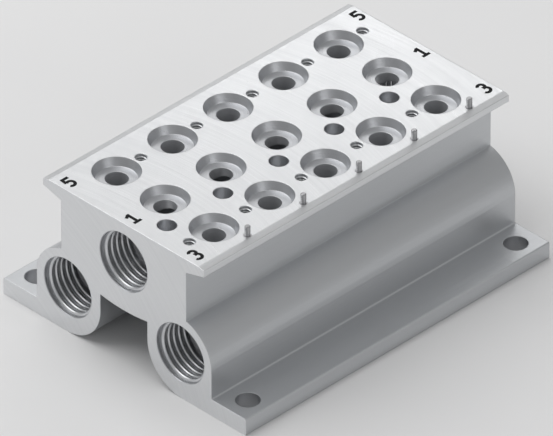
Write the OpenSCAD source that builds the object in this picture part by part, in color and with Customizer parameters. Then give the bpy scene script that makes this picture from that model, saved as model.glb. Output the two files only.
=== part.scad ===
// Manifold block for a row of five-port pneumatic valves: one extruded rail with three
// lengthwise galleries, threaded ports at both ends and a machined seat row per gallery.
// X runs across the rail, Y along it and Z up from the mounting face.
// The origin is at the middle of the mounting face.

/* [Stations] */
// Number of valve stations along the rail
station_count = 5; // [2:1:8]
// Distance from one station to the next
station_pitch = 19.5; // [17.5:0.1:30]
// Distance from an end face to the nearest station
end_margin = 14.6; // [13:0.1:30]

/* [Rail section] */
// Height of the top face above the mounting face
rail_height = 42.9; // [41:0.1:60]
// Width over the side lips of the top plate
top_width = 56.4; // [54:0.1:70]
// Width of the head between the lips and the lobes
head_width = 43.9; // [42:0.1:52]
// Height of the upright outer edge of a lip
lip_edge = 1.9; // [1:0.1:4]
// Rise of a lip's underside from the head to its edge
lip_rise = 1.7; // [0.5:0.1:4]
// Width of the shallow bevel along a lip
bevel_width = 1.9; // [0.5:0.1:3]
// Fall of the shallow bevel
bevel_drop = 0.4; // [0.1:0.1:1]
// Outer radius of a lobe around its gallery axis
lobe_r = 10.9; // [10:0.1:12]
// Radius of a lobe's round lower corner beside the channel
lobe_corner_r = 12; // [4:0.1:12.5]
// Width of the channel under the rail
channel_width = 16.6; // [10:0.1:18]
// Height of the channel at its side walls
channel_height = 17.2; // [13:0.1:18]
// How far the channel's roof sags at its middle
channel_sag = 0.7; // [0.2:0.1:2]
// Width over the two feet
foot_width = 85.6; // [80:0.1:120]
// Thickness of a foot
foot_t = 4.9; // [3:0.1:8]
// Radius of the outer corners of a foot
foot_corner_r = 0.4; // [0.1:0.1:1]
// Radius of the fillet between a foot and its lobe
foot_fillet_r = 0.5; // [0.1:0.1:2]

/* [Galleries and end ports] */
// Bore of the three galleries
gallery_d = 14; // [10:0.1:15]
// Distance between the two exhaust galleries
exhaust_spacing = 39.7; // [38:0.1:42]
// Height of the exhaust gallery axes
exhaust_height = 13.4; // [12:0.1:16]
// Height of the supply gallery axis
supply_height = 31.2; // [28:0.1:31.8]
// Thread diameter of an end port, G 3/8
port_d = 16.66; // [15.5:0.01:18]
// Length of thread in an end port
port_depth = 10.7; // [8:0.1:11]
// Width of the chamfer at the mouth of an end port
port_chamfer = 0.15; // [0.1:0.05:0.6]

/* [Valve seats] */
// Distance from the middle seat row to each side row
row_spacing = 17.1; // [16:0.1:18]
// Rim diameter of a seat
seat_d = 12.6; // [11:0.1:14]
// Floor diameter of a seat
seat_floor_d = 10.7; // [8:0.1:10.8]
// Depth of a seat
seat_depth = 2.3; // [1:0.1:3]
// Bore from a seat's floor to its gallery
seat_hole_d = 6; // [4:0.1:7]

/* [Spigot holes and valve screws] */
// Diameter of a spigot hole
spigot_d = 5; // [4:0.1:6]
// Depth of a spigot hole to the end of its full diameter
spigot_depth = 4; // [2:0.1:4.2]
// Distance of the spigot holes from the middle row, across the rail
spigot_x = 8.2; // [7.8:0.1:8.6]
// Distance of a spigot hole from its station, along the rail
spigot_y = 7.5; // [7:0.1:8]
// Thread diameter of a valve screw, M3
screw_d = 3; // [2:0.1:3.5]
// Length of thread for a valve screw
screw_depth = 8; // [4:0.1:12]
// Distance of a valve screw from its station, along the rail
screw_y = 8.5; // [8.2:0.05:8.8]
// Width of the countersink at the mouth of a screw hole
screw_sink = 0.15; // [0.05:0.05:0.3]

/* [Foot holes] */
// Diameter of the mounting holes in the feet
foot_hole_d = 6.4; // [4:0.1:7]
// Distance between the mounting holes across the rail
foot_hole_spacing = 74.4; // [72:0.1:76]
// Distance of a mounting hole from the end face
foot_hole_margin = 6.3; // [5:0.1:20]

/* [Locating pins] */
// Diameter of a pin's free end
pin_d = 1.5; // [1:0.1:2]
// Diameter of the shank pressed into the rail
pin_shank_d = 1.9; // [1.2:0.1:2.2]
// Height of a pin above the top face
pin_height = 2.8; // [1:0.1:5]
// Length of shank in the rail
pin_shank = 2; // [1:0.1:2.3]
// Width of the chamfers at a pin's ends
pin_chamfer = 0.2; // [0.1:0.05:0.3]
// Radial clearance between a pin's shank and its hole
pin_fit = 0.01; // [0:0.01:0.05]
// Distance of the pins from the middle row, across the rail
pin_x = 25.2; // [24.5:0.1:25.4]
// Distance of a pin from its station, along the rail
pin_y = 3.6; // [2:0.1:8]

/* [Hidden] */
$fn = 96;
// How far a cutter runs past the face that it opens
over = 1;
// Edge break at the mouth of a spigot hole or a pin's hole
deburr = 0.1;
// Half angle of a drill's point
drill_angle = 59;
rail_length = (station_count - 1) * station_pitch + 2 * end_margin;
top_half = top_width / 2;
head_half = head_width / 2;
foot_half = foot_width / 2;
channel_half = channel_width / 2;
exhaust_x = exhaust_spacing / 2;
lobe_half = exhaust_x + lobe_r;
lip_top = rail_height - bevel_drop;
lip_bottom = lip_top - lip_edge;
lip_root = lip_bottom - lip_rise;
// Radius of the channel's sagging roof, from its chord and its sag
roof_r = (channel_half * channel_half + channel_sag * channel_sag) / (2 * channel_sag);
// Across-rail place and gallery height of each seat row: ports 5, 1 and 3
rows = [[-row_spacing, exhaust_height], [0, supply_height], [row_spacing, exhaust_height]];
galleries = [[-exhaust_x, exhaust_height], [0, supply_height], [exhaust_x, exhaust_height]];
stations = [for (i = [0:station_count - 1]) (i - (station_count - 1) / 2) * station_pitch];

// What a round of radius r takes off a square corner whose tip is at x, z.
// side_x and side_z point out of the material.
module corner_off(x, z, side_x, side_z, r) {
    translate([x, z])
        mirror([side_x < 0 ? 1 : 0, 0])
            mirror([0, side_z < 0 ? 1 : 0])
                difference() {
                    translate([-r, -r]) square(r + over);
                    translate([-r, -r]) circle(r);
                }
}

// What a fillet of radius r adds to a square inner corner whose tip is at x, z.
// side_x and side_z point out of the material.
module corner_fill(x, z, side_x, side_z, r) {
    translate([x, z])
        mirror([side_x < 0 ? 1 : 0, 0])
            mirror([0, side_z < 0 ? 1 : 0])
                difference() {
                    translate([-r / 2, -r / 2]) square(1.5 * r);
                    translate([r, r]) circle(r);
                }
}

// The straight-sided outline: feet, lobe sides, head and the top plate with its undercut lips
module outline_section() {
    right = [
        [foot_half, 0],
        [foot_half, foot_t],
        [lobe_half, foot_t],
        [lobe_half, exhaust_height],
        [head_half, exhaust_height],
        [head_half, lip_root],
        [top_half, lip_bottom],
        [top_half, lip_top],
        [top_half - bevel_width, rail_height]
    ];
    left = [for (i = [len(right) - 1:-1:0]) [-right[i][0], right[i][1]]];
    polygon(concat(right, left));
}

// The channel between the lobes, under a roof that sags at its middle
module channel_section() {
    difference() {
        translate([-channel_half, -over]) square([channel_width, channel_height + 2 * over]);
        translate([0, channel_height - channel_sag + roof_r]) circle(roof_r, $fn = 360);
    }
}

// The extruded section, seen from the end with port 5 on the left
module rail_section() {
    difference() {
        union() {
            outline_section();
            for (side = [-1, 1]) {
                translate([side * exhaust_x, exhaust_height]) circle(lobe_r);
                corner_fill(side * lobe_half, foot_t, side, 1, foot_fillet_r);
            }
        }
        channel_section();
        for (side = [-1, 1]) {
            corner_off(side * channel_half, 0, -side, -1, lobe_corner_r);
            corner_off(side * foot_half, 0, side, -1, foot_corner_r);
            corner_off(side * foot_half, foot_t, side, 1, foot_corner_r);
        }
    }
}

// A blind hole drilled down from the origin: a chamfered mouth, the full diameter and the
// drill's point
module drilled_hole(d, depth, mouth) {
    r = d / 2;
    rotate_extrude()
        polygon([
            [0, over],
            [r + mouth + over, over],
            [r, -mouth],
            [r, -depth],
            [0, -depth - r / tan(drill_angle)]
        ]);
}

// A threaded port in the near end face, on a gallery's axis
module end_port(x, z) {
    translate([x, -rail_length / 2, z])
        rotate([90, 0, 0])
            drilled_hole(port_d, port_depth, port_chamfer);
}

// A gallery from end face to end face
module gallery_bore(x, z) {
    translate([x, 0, z])
        rotate([90, 0, 0])
            cylinder(h = rail_length + 2 * over, d = gallery_d, center = true);
}

// A drilled hole in the top face
module top_hole(x, y, d, depth, mouth) {
    translate([x, y, rail_height]) drilled_hole(d, depth, mouth);
}

// A tapered seat in the top face and the bore from its floor into the gallery
module seat(x, y, gallery_z) {
    taper = (seat_d - seat_floor_d) / 2 / seat_depth;
    translate([x, y, rail_height - seat_depth])
        cylinder(h = seat_depth + over, r1 = seat_floor_d / 2, r2 = seat_d / 2 + taper * over);
    translate([x, y, gallery_z])
        cylinder(h = rail_height - gallery_z, d = seat_hole_d);
}

// Everything that one valve needs in the top face, around its station at y
module station_cuts(y) {
    for (row = rows) seat(row[0], y, row[1]);
    top_hole(spigot_x, y - spigot_y, spigot_d, spigot_depth, deburr);
    for (side = [-1, 1])
        top_hole(side * row_spacing, y - side * screw_y, screw_d, screw_depth, screw_sink);
    top_hole(pin_x, y + pin_y, pin_shank_d + 2 * pin_fit, pin_shank, deburr);
}

// A mounting hole through a foot
module foot_hole(side_x, side_y) {
    translate([
        side_x * foot_hole_spacing / 2,
        side_y * (rail_length / 2 - foot_hole_margin),
        -over
    ])
        cylinder(h = foot_t + 2 * over, d = foot_hole_d);
}

// The rail: the extrusion and all its machining
module manifold_block() {
    color("silver")
        difference() {
            rotate([90, 0, 0])
                linear_extrude(height = rail_length, center = true)
                    rail_section();
            for (gallery = galleries) {
                gallery_bore(gallery[0], gallery[1]);
                end_port(gallery[0], gallery[1]);
                mirror([0, 1, 0]) end_port(gallery[0], gallery[1]);
            }
            for (y = stations) station_cuts(y);
            for (side_x = [-1, 1]) {
                for (side_y = [-1, 1]) foot_hole(side_x, side_y);
            }
        }
}

// A stepped pin, with its shank in the rail and its free end above the top face
module locating_pin(number) {
    free_r = pin_d / 2;
    shank_r = pin_shank_d / 2;
    color("gray")
        translate([pin_x, stations[number - 1] + pin_y, rail_height])
            rotate_extrude()
                polygon([
                    [0, -pin_shank],
                    [shank_r - pin_chamfer, -pin_shank],
                    [shank_r, pin_chamfer - pin_shank],
                    [shank_r, 0],
                    [free_r, 0],
                    [free_r, pin_height - pin_chamfer],
                    [free_r - pin_chamfer, pin_height],
                    [0, pin_height]
                ]);
}

manifold_block();
for (i = [1:station_count]) {
    locating_pin(i);
}
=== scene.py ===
import math

import bpy
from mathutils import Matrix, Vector


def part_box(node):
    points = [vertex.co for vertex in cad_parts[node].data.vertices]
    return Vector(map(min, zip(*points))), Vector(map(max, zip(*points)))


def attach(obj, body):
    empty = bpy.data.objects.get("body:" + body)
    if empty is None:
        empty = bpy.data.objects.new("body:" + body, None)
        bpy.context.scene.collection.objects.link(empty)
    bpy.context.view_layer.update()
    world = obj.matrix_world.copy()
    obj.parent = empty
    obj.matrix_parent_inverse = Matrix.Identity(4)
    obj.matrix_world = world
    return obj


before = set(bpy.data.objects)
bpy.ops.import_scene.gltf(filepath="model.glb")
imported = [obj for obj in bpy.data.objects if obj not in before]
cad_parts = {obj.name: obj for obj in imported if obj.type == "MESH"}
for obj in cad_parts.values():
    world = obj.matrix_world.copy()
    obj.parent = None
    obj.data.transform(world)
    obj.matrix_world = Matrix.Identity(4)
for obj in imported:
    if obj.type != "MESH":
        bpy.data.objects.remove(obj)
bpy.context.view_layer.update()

MM = 0.001
BLOCK = "manifold_block"

# The rail in millimetres, as the CAD nodes have it: x across it and y along it, both from
# its middle, and z up from its mounting face
block_low, block_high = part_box(BLOCK)
RAIL_LENGTH = (block_high.y - block_low.y) / MM
RAIL_HEIGHT = block_high.z / MM
STATION_COUNT = 5
STATION_PITCH = 19.5

# Ports in the end faces: x and z of each axis, radius, length of thread and chamfer
PORTS = {"5": (-19.85, 13.4), "1": (0.0, 31.2), "3": (19.85, 13.4)}
PORT_R = 16.66 / 2
PORT_DEPTH = 10.7
PORT_CHAMFER = 0.15

# Valve seats: x of the side rows, radius of the rim, height of the floor, radius of the
# bore below it and a height that no bore reaches down to
ROW_X = 17.1
SEAT_R = 12.6 / 2
SEAT_FLOOR = 40.6
HOLE_R = 6.0 / 2
HOLE_BOTTOM = 15.0

# Valve screw holes: radius, length of thread, countersink and distance from the station
SCREW_R = 3.0 / 2
SCREW_DEPTH = 8.0
SCREW_SINK = 0.15
SCREW_Y = 8.5

# Spigot holes: radius, x and distance before the station, and a height below their ends
SPIGOT_R = 5.0 / 2
SPIGOT_AT = (8.2, 7.5)
SPIGOT_BOTTOM = 36.6

# Mounting holes in the feet: radius, and distances from the middle of the rail
FOOT_HOLE_R = 6.4 / 2
FOOT_HOLE_AT = (37.2, 47.3)

# A face further out across the rail and higher than this belongs to a lip
LIP_BEYOND = (22.5, 37.0)

# How far a finish reaches past the faces that it is for
REACH = 0.05
# A face whose normal has more than this along an axis is square to that axis
SQUARE = 0.9
# A face whose normal has less than this along an axis is a wall beside it
WALL = 0.5

# Tool marks: radius of the arcs on the top face, and x and z of the middle of those on
# the end faces
TOP_ARC_R = 90.0
END_ARCS_AT = (-55.0, -30.0)

# Threads: distance between turns as drawn, and height of the thread form
PORT_PITCH = 1.8
PORT_FORM = 0.86
SCREW_PITCH = 0.8
SCREW_FORM = 0.28
# Half widths of a thread's root and crest, as shares of the distance between turns
ROOT_SHARE = 0.44
CREST_SHARE = 0.09
# How deep the root is sunk into the wall of the bore
ROOT_SUNK = 0.12
# Steps in one turn
TURN_STEPS = 64
# Room left at either end of a port's thread, and how much a screw hole's falls short
PORT_ROOM = 0.3
SCREW_SHORT = 0.4

# Numerals on the top face: stroke, and each one's x and distance from its end face
NUMERAL_STROKE = 0.9
NUMERAL_PLACES = {
    ("5", "front"): (-22.0, 3.0),
    ("1", "front"): (0.15, 3.05),
    ("3", "front"): (22.1, 3.2),
    ("5", "rear"): (-22.55, 2.25),
    ("1", "rear"): (-0.1, 2.5),
    ("3", "rear"): (22.1, 2.6),
}
# How far a numeral stands above the top face and reaches below it
NUMERAL_PROUD = 0.02
NUMERAL_SUNK = 0.05
# Width of the sliver that a round stroke is spun from, and the steps of its spin
SLIVER = 0.01
BOWL_STEPS = 28

# Colours of the rail: extruded faces, machined faces, the marks on both, and painted shade in the
# bores
EXTRUDED = (0.60, 0.615, 0.63, 1)
MACHINED = (0.79, 0.80, 0.81, 1)
MARKED = (0.60, 0.61, 0.63, 1)
BORE_PAINTED_SHADE = (0.50, 0.51, 0.53, 1)

# The two shades that vary over each of the other finishes
THREAD_SHADES = (0.74, 0.75, 0.76, 1), (0.62, 0.63, 0.65, 1)
PIN_SHADES = (0.50, 0.50, 0.51, 1), (0.38, 0.38, 0.39, 1)
NUMERAL_SHADES = (0.006, 0.006, 0.007, 1), (0.014, 0.014, 0.015, 1)
FLOOR_SHADES = (0.80, 0.80, 0.80, 1), (0.77, 0.77, 0.775, 1)

# Studio, in metres and watts: the floor's side, the sky's strength, the point that the
# softboxes face, and each one's place, size and power
FLOOR_SIDE = 40.0
SKY_STRENGTH = 0.38
LAMPS_FACE = (0, 0, 0.02)
SOFTBOXES = {
    "key": ((-0.60, -0.25, 1.12), (1.4, 1.4), 12.0),
    "back": ((-0.32, 0.42, 0.34), (0.4, 0.12), 0.28),
    "fill": ((0.9, -0.1, 0.5), (0.5, 0.5), 0.9),
}

# The photograph: its width in pixels, its scale across the line of sight and where the
# part's origin falls, in pixels right of and above its middle
PICTURE_WIDTH = 553
PIXELS_PER_MM = 4.0208
ORIGIN_AT = (0.26, -58.06)
# Distance from the origin, towards the camera, at which that scale holds
SCALE_DEPTH = 20.0
# Isometric line of sight, in degrees round from the front and up from the floor
VIEW_AZIMUTH = 45.0
VIEW_ELEVATION = 35.264
# Lens and sensor in millimetres, and the nearest and furthest that shows in metres
LENS = 1200.0
SENSOR_WIDTH = 36.0
CLIP = (0.1, 100.0)


def mm(*values):
    return Vector(values) * MM


# Small helpers for modelling

def deselect():
    if bpy.context.object and bpy.context.object.mode != "OBJECT":
        bpy.ops.object.mode_set(mode="OBJECT")
    bpy.ops.object.select_all(action="DESELECT")


def only(piece):
    deselect()
    piece.select_set(True)
    bpy.context.view_layer.objects.active = piece


def settle(piece):
    """Put the piece's place into its mesh, so that its object sits at the origin."""
    only(piece)
    bpy.ops.object.transform_apply(location=True, rotation=True, scale=True)


def outwards(piece):
    """Turn all faces of a closed piece outwards."""
    only(piece)
    bpy.ops.object.mode_set(mode="EDIT")
    bpy.ops.mesh.select_all(action="SELECT")
    bpy.ops.mesh.normals_make_consistent(inside=False)
    bpy.ops.object.mode_set(mode="OBJECT")


def select_where(piece, test):
    """Leave the piece in edit mode with those vertices selected that pass the test."""
    only(piece)
    bpy.ops.object.mode_set(mode="EDIT")
    bpy.ops.mesh.select_mode(type="VERT")
    bpy.ops.mesh.select_all(action="DESELECT")
    bpy.ops.object.mode_set(mode="OBJECT")
    for vert in piece.data.vertices:
        vert.select = test(vert.co / MM)
    bpy.ops.object.mode_set(mode="EDIT")


def copy_of(piece, name):
    twin = piece.copy()
    twin.data = piece.data.copy()
    twin.name = name
    bpy.context.collection.objects.link(twin)
    return twin


def finish_piece(piece, material):
    piece.data.materials.clear()
    piece.data.materials.append(material)
    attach(piece, "root")


# Shader maths

class Wire:
    """A shader socket that takes part in ordinary sums."""

    def __init__(self, finish, socket):
        self.finish = finish
        self.socket = socket

    def maths(self, operation, *others):
        return self.finish.node("ShaderNodeMath", {"operation": operation}, [self, *others])

    def __add__(self, other):
        return self.maths("ADD", other)

    __radd__ = __add__

    def __sub__(self, other):
        return self.maths("SUBTRACT", other)

    def __rsub__(self, other):
        return self.finish.node("ShaderNodeMath", {"operation": "SUBTRACT"}, [other, self])

    def __mul__(self, other):
        return self.maths("MULTIPLY", other)

    __rmul__ = __mul__

    def __abs__(self):
        return self.maths("ABSOLUTE")

    def __lt__(self, other):
        return self.maths("LESS_THAN", other)

    def __gt__(self, other):
        return self.maths("GREATER_THAN", other)


class Finish:
    """A Principled material under construction."""

    def __init__(self, name):
        self.material = bpy.data.materials.new(name)
        self.material.use_nodes = True
        self.tree = self.material.node_tree
        self.shader = self.tree.nodes["Principled BSDF"]

    def feed(self, socket, value):
        if isinstance(value, Wire):
            self.tree.links.new(value.socket, socket)
        else:
            socket.default_value = value

    def node(self, kind, settings, values, output=0):
        """One output of a new node with these settings and these values of its sockets."""
        made = self.tree.nodes.new(kind)
        for key, value in settings.items():
            setattr(made, key, value)
        pairs = values.items() if isinstance(values, dict) else enumerate(values)
        for key, value in pairs:
            self.feed(made.inputs[key], value)
        return Wire(self, made.outputs[output])

    def set(self, **values):
        """Give the shader's own sockets their values or wires."""
        for key, value in values.items():
            self.feed(self.shader.inputs[key.replace("_", " ")], value)

    def coordinates(self, output):
        """x, y and z of one of the Texture Coordinate node's outputs."""
        coords = self.node("ShaderNodeTexCoord", {}, [], output)
        parts = self.node("ShaderNodeSeparateXYZ", {}, [coords]).socket.node
        return [Wire(self, socket) for socket in parts.outputs]

    def place(self):
        """The point's own place in millimetres, as x, y and z."""
        return [axis * (1 / MM) for axis in self.coordinates("Object")]

    def normal(self):
        """The surface's own direction, as x, y and z."""
        return self.coordinates("Normal")

    def vector(self, x, y, z):
        return self.node("ShaderNodeCombineXYZ", {}, [x, y, z])

    def noise(self, vector, scale=1.0, detail=2.0, roughness=0.5):
        return self.node(
            "ShaderNodeTexNoise", {},
            {"Vector": vector, "Scale": scale, "Detail": detail, "Roughness": roughness},
            "Fac",
        )

    def stretch(self, value, low, high):
        """The part of value from low to high, spread over 0 to 1."""
        return self.node(
            "ShaderNodeMapRange", {}, {"Value": value, "From Min": low, "From Max": high},
        )

    def blend(self, factor, low, high):
        """Numbers from low to high as factor goes from 0 to 1."""
        return self.node("ShaderNodeMix", {"data_type": "FLOAT"}, {0: factor, 2: low, 3: high})

    def tint(self, factor, low, high):
        """Colours from low to high as factor goes from 0 to 1."""
        return self.node("ShaderNodeMix", {"data_type": "RGBA"}, {0: factor, 6: low, 7: high}, 2)

    def bump(self, height, depth, strength=1.0, edge=0.0):
        """A relief of this depth, over edges broken by a radius, both in millimetres."""
        values = {"Strength": strength, "Distance": depth * MM, "Height": height}
        if edge:
            values["Normal"] = self.node("ShaderNodeBevel", {"samples": 6}, {"Radius": edge * MM})
        return self.node("ShaderNodeBump", {}, values)


def hypot(a, b):
    return (a * a + b * b).maths("SQRT")


def largest(first, *others):
    """The largest of several masks, which is 1 wherever one of them is."""
    for other in others:
        first = first.maths("MAXIMUM", other)
    return first


def from_station(y):
    """Distance along the rail from the nearest station."""
    return y.maths("PINGPONG", STATION_PITCH / 2)


def rail_finish():
    """Clear anodised extrusion with milled top, lips and ends, and turned or bored holes."""
    f = Finish("anodised_aluminium")
    x, y, z = f.place()
    _, ny, nz = f.normal()

    # Masks, each 1 on its own faces and 0 elsewhere
    top = (z > RAIL_HEIGHT - REACH) * (nz > SQUARE)
    end = (abs(y) > RAIL_LENGTH / 2 - REACH) * (abs(ny) > SQUARE)
    lips = (abs(x) > LIP_BEYOND[0]) * (z > LIP_BEYOND[1])
    bores = [
        hypot(x - port_x, z - port_z) < PORT_R + PORT_CHAMFER + REACH
        for port_x, port_z in PORTS.values()
    ]
    seat_r = hypot(abs(x).maths("MINIMUM", abs(abs(x) - ROW_X)), from_station(y))
    seats = (seat_r < SEAT_R + REACH) * (z > SEAT_FLOOR - REACH) * (nz > -WALL)
    holes = (seat_r < HOLE_R + REACH) * (z > HOLE_BOTTOM) * (z < SEAT_FLOOR)
    spigot_r = hypot(x - SPIGOT_AT[0], from_station(y + SPIGOT_AT[1]))
    spigots = (spigot_r < SPIGOT_R + REACH) * (z > SPIGOT_BOTTOM)
    foot_r = hypot(abs(x) - FOOT_HOLE_AT[0], abs(y) - FOOT_HOLE_AT[1])
    feet = (foot_r < FOOT_HOLE_R + REACH) * (nz < WALL)
    bored = largest(*bores, seats, holes, spigots, feet) * (1 - end) * (1 - top)
    machined = largest(top, end, bored, lips)

    # Marks of the die along the rail, and of the tools in arcs and rings
    die_lines = f.noise(f.vector(x * 1.1, y * 0.006, z * 1.1), detail=5.0, roughness=0.7)
    top_arc = y - (TOP_ARC_R ** 2 - x * x).maths("SQRT")
    top_marks = f.noise(f.vector(top_arc * 0.9, x * 0.02, 0.0), detail=5.0, roughness=0.65)
    end_arc = hypot(x - END_ARCS_AT[0], z - END_ARCS_AT[1])
    end_marks = f.noise(f.vector(end_arc * 0.9, 0.0, 3.0), detail=5.0, roughness=0.65)
    turned = f.noise(f.vector(seat_r * 6.0, z * 6.0, y * 0.2))
    relief = f.blend(top, die_lines, top_marks)
    relief = f.blend(end, relief, end_marks)
    relief = f.stretch(f.blend(bored, relief, turned), 0.3, 0.7)
    grain = f.noise(f.vector(x, y, z), scale=9.0, detail=3.0, roughness=0.6)
    cloud = f.noise(f.vector(x, y * 0.4, z), scale=0.06)

    colour = f.tint(machined, EXTRUDED, MACHINED)
    colour = f.tint(relief * 0.3 + cloud * 0.2, colour, MARKED)
    # Painted shade: bores, seats and holes are tinted darker, standing in for the shade inside
    # them
    colour = f.tint(bored * 0.75, colour, BORE_PAINTED_SHADE)
    rough = f.blend(machined, 0.42, 0.33) + holes * 0.1
    rough = rough + (relief - 0.5) * 0.1 + (grain - 0.5) * 0.1
    f.set(Base_Color=colour, Metallic=f.blend(holes, 0.88, 0.6), Roughness=rough)
    f.set(Normal=f.bump(relief * 0.9 + grain * 0.1, depth=0.025, edge=0.3))
    return f.material


def thread_finish():
    """Cut thread, with fine marks of the tool."""
    f = Finish("cut_thread")
    marks = f.noise(f.vector(*f.place()), scale=3.0, detail=3.0, roughness=0.6)
    f.set(
        Base_Color=f.tint(marks, *THREAD_SHADES),
        Metallic=0.9,
        Roughness=0.26 + marks * 0.14,
    )
    return f.material


def pin_finish():
    """Ground steel, with fine rings round the pin."""
    f = Finish("ground_steel")
    x, y, z = f.place()
    rings = f.noise(f.vector(x * 0.5, y * 0.5, z * 14.0))
    f.set(
        Base_Color=f.tint(rings, *PIN_SHADES),
        Metallic=1.0,
        Roughness=0.22 + rings * 0.12,
        Normal=f.bump(rings, depth=0.02, strength=0.4),
    )
    return f.material


def numeral_finish():
    """Black filling, a little mottled."""
    f = Finish("black_filling")
    mottle = f.noise(f.vector(*f.place()), scale=4.0, detail=4.0, roughness=0.6)
    f.set(
        Base_Color=f.tint(mottle, *NUMERAL_SHADES),
        Roughness=0.6 + mottle * 0.2,
        Specular_IOR_Level=0.15,
    )
    return f.material


def floor_finish():
    """Plain pale board."""
    f = Finish("pale_board")
    cloud = f.noise(f.vector(*f.place()), scale=0.02)
    f.set(Base_Color=f.tint(cloud, *FLOOR_SHADES), Roughness=0.85)
    return f.material


def dress_nodes():
    """Give the block and its pins their finishes."""
    rail = rail_finish()
    pin = pin_finish()
    for name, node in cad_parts.items():
        node.data.materials.clear()
        node.data.materials.append(rail if name == BLOCK else pin)


# Threads

def thread_turns(name, wall_r, form, pitch, length):
    """A helical ridge inside a bore of radius wall_r, from z = 0 down to -length.

    Its section starts as a flat square, is shaped to the thread form and swept by a Screw.
    """
    root_half, crest_half = ROOT_SHARE * pitch, CREST_SHARE * pitch
    root_r, crest_r = wall_r + ROOT_SUNK, wall_r - form
    middle_r = (root_r + crest_r) / 2
    deselect()
    bpy.ops.mesh.primitive_plane_add(
        size=1.0, location=mm(middle_r, 0, 0), rotation=(math.pi / 2, 0, 0),
    )
    ridge = bpy.context.object
    ridge.name = name
    ridge.scale = mm(root_r - crest_r, 2 * root_half, 1)
    settle(ridge)
    select_where(ridge, lambda at: at.x < middle_r)
    bpy.ops.transform.resize(value=(1, 1, crest_half / root_half))
    bpy.ops.mesh.select_all(action="SELECT")
    bpy.ops.mesh.delete(type="ONLY_FACE")
    bpy.ops.object.mode_set(mode="OBJECT")

    sweep = ridge.modifiers.new("sweep", "SCREW")
    turns = (length - 2 * root_half) / pitch
    sweep.angle = -2 * math.pi * turns
    sweep.screw_offset = -pitch * turns * MM
    sweep.steps = sweep.render_steps = round(TURN_STEPS * turns)
    sweep.use_merge_vertices = False
    only(ridge)
    bpy.ops.object.modifier_apply(modifier=sweep.name)

    # Close the two ends
    bpy.ops.object.mode_set(mode="EDIT")
    bpy.ops.mesh.select_all(action="DESELECT")
    bpy.ops.mesh.select_mode(type="EDGE")
    bpy.ops.mesh.select_non_manifold()
    bpy.ops.mesh.fill_holes(sides=4)
    bpy.ops.object.mode_set(mode="OBJECT")
    ridge.location = mm(0, 0, -root_half)
    settle(ridge)
    outwards(ridge)
    return ridge


def port_threads(material):
    length = PORT_DEPTH - 2 * PORT_ROOM
    pattern = thread_turns("port_thread", PORT_R, PORT_FORM, PORT_PITCH, length)
    for number, (x, z) in PORTS.items():
        for end, side in (("front", -1), ("rear", 1)):
            turns = copy_of(pattern, f"thread_{number}_{end}")
            turns.rotation_euler = (side * -math.pi / 2, 0, 0)
            turns.location = mm(x, side * (RAIL_LENGTH / 2 - PORT_ROOM), z)
            settle(turns)
            finish_piece(turns, material)
    bpy.data.objects.remove(pattern)


def screw_threads(material):
    length = SCREW_DEPTH - SCREW_SHORT
    pattern = thread_turns("screw_thread", SCREW_R, SCREW_FORM, SCREW_PITCH, length)
    for index in range(STATION_COUNT):
        station = (index - (STATION_COUNT - 1) / 2) * STATION_PITCH
        for row, side in (("5", -1), ("3", 1)):
            turns = copy_of(pattern, f"screw_thread_{row}_{index + 1}")
            turns.location = mm(side * ROW_X, station - side * SCREW_Y, RAIL_HEIGHT - SCREW_SINK)
            settle(turns)
            finish_piece(turns, material)
    bpy.data.objects.remove(pattern)


# Numerals

def bar(start, end):
    """A straight stroke from start to end, in the numeral's own millimetres."""
    (x0, y0), (x1, y1) = start, end
    deselect()
    bpy.ops.mesh.primitive_plane_add(size=1.0, location=mm((x0 + x1) / 2, (y0 + y1) / 2, 0))
    stroke = bpy.context.object
    stroke.rotation_euler = (0, 0, math.atan2(y1 - y0, x1 - x0))
    stroke.scale = mm(math.hypot(x1 - x0, y1 - y0), NUMERAL_STROKE, 1)
    settle(stroke)
    return stroke


def bowl(centre, radius, start, end):
    """A round stroke from one angle round to a larger one, in degrees."""
    deselect()
    bpy.ops.mesh.primitive_plane_add(size=1.0, location=mm(radius, SLIVER / 2, 0))
    stroke = bpy.context.object
    stroke.scale = mm(NUMERAL_STROKE, SLIVER, 1)
    settle(stroke)
    select_where(stroke, lambda at: at.y > SLIVER / 2)
    bpy.ops.mesh.spin(
        steps=BOWL_STEPS, angle=math.radians(end - start), center=(0, 0, 0), axis=(0, 0, -1),
    )
    bpy.ops.object.mode_set(mode="OBJECT")
    stroke.rotation_euler = (0, 0, math.radians(start))
    stroke.location = mm(*centre, 0)
    settle(stroke)
    return stroke


def numeral_strokes(digit):
    """The flat strokes of a numeral, in millimetres from its middle."""
    if digit == "1":
        return [
            bar((0.16, 2.15), (0.16, -2.15)),
            bar((-1.1, 1.0), (0.3, 1.85)),
            bar((-1.2, -1.76), (1.35, -1.76)),
        ]
    if digit == "5":
        return [
            bar((-1.2, 1.76), (1.15, 1.76)),
            bar((-0.84, 2.1), (-1.0, 0.0)),
            bowl((-0.2, -0.72), 1.08, -142, 136),
        ]
    return [
        bowl((-0.14, 0.93), 0.96, -100, 158),
        bowl((-0.17, -0.91), 1.13, -150, 98),
    ]


def thicken(stroke):
    """Give a flat stroke its thickness, downwards from z = 0."""
    only(stroke)
    bpy.ops.object.mode_set(mode="EDIT")
    bpy.ops.mesh.select_all(action="SELECT")
    depth = (NUMERAL_PROUD + NUMERAL_SUNK) * MM
    bpy.ops.mesh.extrude_region_move(TRANSFORM_OT_translate={"value": (0, 0, -depth)})
    bpy.ops.object.mode_set(mode="OBJECT")
    outwards(stroke)


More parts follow.
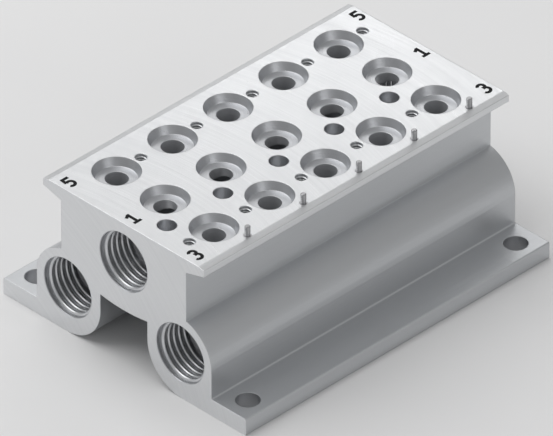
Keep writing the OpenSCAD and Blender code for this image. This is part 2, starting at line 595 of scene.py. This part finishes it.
def numeral_pattern(digit):
    """A port numeral of thin strokes, joined into one solid."""
    strokes = numeral_strokes(digit)
    for stroke in strokes:
        thicken(stroke)
    pattern = strokes[0]
    pattern.name = f"numeral_{digit}"
    only(pattern)
    for stroke in strokes[1:]:
        union = pattern.modifiers.new("union", "BOOLEAN")
        union.operation = "UNION"
        union.solver = "EXACT"
        union.object = stroke
        bpy.ops.object.modifier_apply(modifier=union.name)
        bpy.data.objects.remove(stroke)
    return pattern


def numerals(material):
    """Numerals at both ends, which read from the side of port 3."""
    patterns = {digit: numeral_pattern(digit) for digit in PORTS}
    for (digit, end), (x, inset) in NUMERAL_PLACES.items():
        y = RAIL_LENGTH / 2 - inset
        figure = copy_of(patterns[digit], f"numeral_{digit}_{end}")
        figure.rotation_euler = (0, 0, math.pi / 2)
        figure.location = mm(x, -y if end == "front" else y, RAIL_HEIGHT + NUMERAL_PROUD)
        settle(figure)
        finish_piece(figure, material)
    for pattern in patterns.values():
        bpy.data.objects.remove(pattern)


# Stage

def floor(material):
    deselect()
    bpy.ops.mesh.primitive_plane_add(size=FLOOR_SIDE, location=(0, 0, 0))
    board = bpy.context.object
    board.name = "floor"
    board.data.materials.append(material)


def softbox(name, place, size, power):
    deselect()
    bpy.ops.object.light_add(type="AREA", location=place)
    lamp = bpy.context.object
    lamp.name = name
    lamp.data.shape = "RECTANGLE"
    lamp.data.size, lamp.data.size_y = size
    lamp.data.energy = power
    lamp.visible_camera = False
    toward = Vector(LAMPS_FACE) - Vector(place)
    lamp.rotation_euler = toward.to_track_quat("-Z", "Y").to_euler()


def lights():
    """A white sky and three softboxes."""
    world = bpy.data.worlds.new("studio")
    bpy.context.scene.world = world
    world.use_nodes = True
    sky = world.node_tree.nodes["Background"]
    sky.inputs["Color"].default_value = (1.0, 1.0, 1.0, 1)
    sky.inputs["Strength"].default_value = SKY_STRENGTH
    for name, (place, size, power) in SOFTBOXES.items():
        softbox(name, place, size, power)


def camera():
    """A very long lens, which keeps parallel edges as good as parallel, as drawn."""
    azimuth, elevation = math.radians(VIEW_AZIMUTH), math.radians(VIEW_ELEVATION)
    back = Vector((
        math.sin(azimuth) * math.cos(elevation),
        -math.cos(azimuth) * math.cos(elevation),
        math.sin(elevation),
    ))
    turn = (-back).to_track_quat("-Z", "Y")
    right, up = turn @ Vector((1, 0, 0)), turn @ Vector((0, 1, 0))
    over, above = ORIGIN_AT
    aim = (back * SCALE_DEPTH - (right * over + up * above) / PIXELS_PER_MM) * MM
    distance = PICTURE_WIDTH * LENS / (SENSOR_WIDTH * PIXELS_PER_MM) * MM
    deselect()
    bpy.ops.object.camera_add(location=aim + back * distance)
    shot = bpy.context.object
    shot.rotation_mode = "QUATERNION"
    shot.rotation_quaternion = turn
    shot.data.lens = LENS
    shot.data.sensor_width = SENSOR_WIDTH
    shot.data.clip_start, shot.data.clip_end = CLIP
    bpy.context.scene.camera = shot


def main():
    camera()
    lights()
    floor(floor_finish())
    dress_nodes()
    cut = thread_finish()
    port_threads(cut)
    screw_threads(cut)
    numerals(numeral_finish())
    bpy.context.scene.view_settings.view_transform = "Standard"


main()
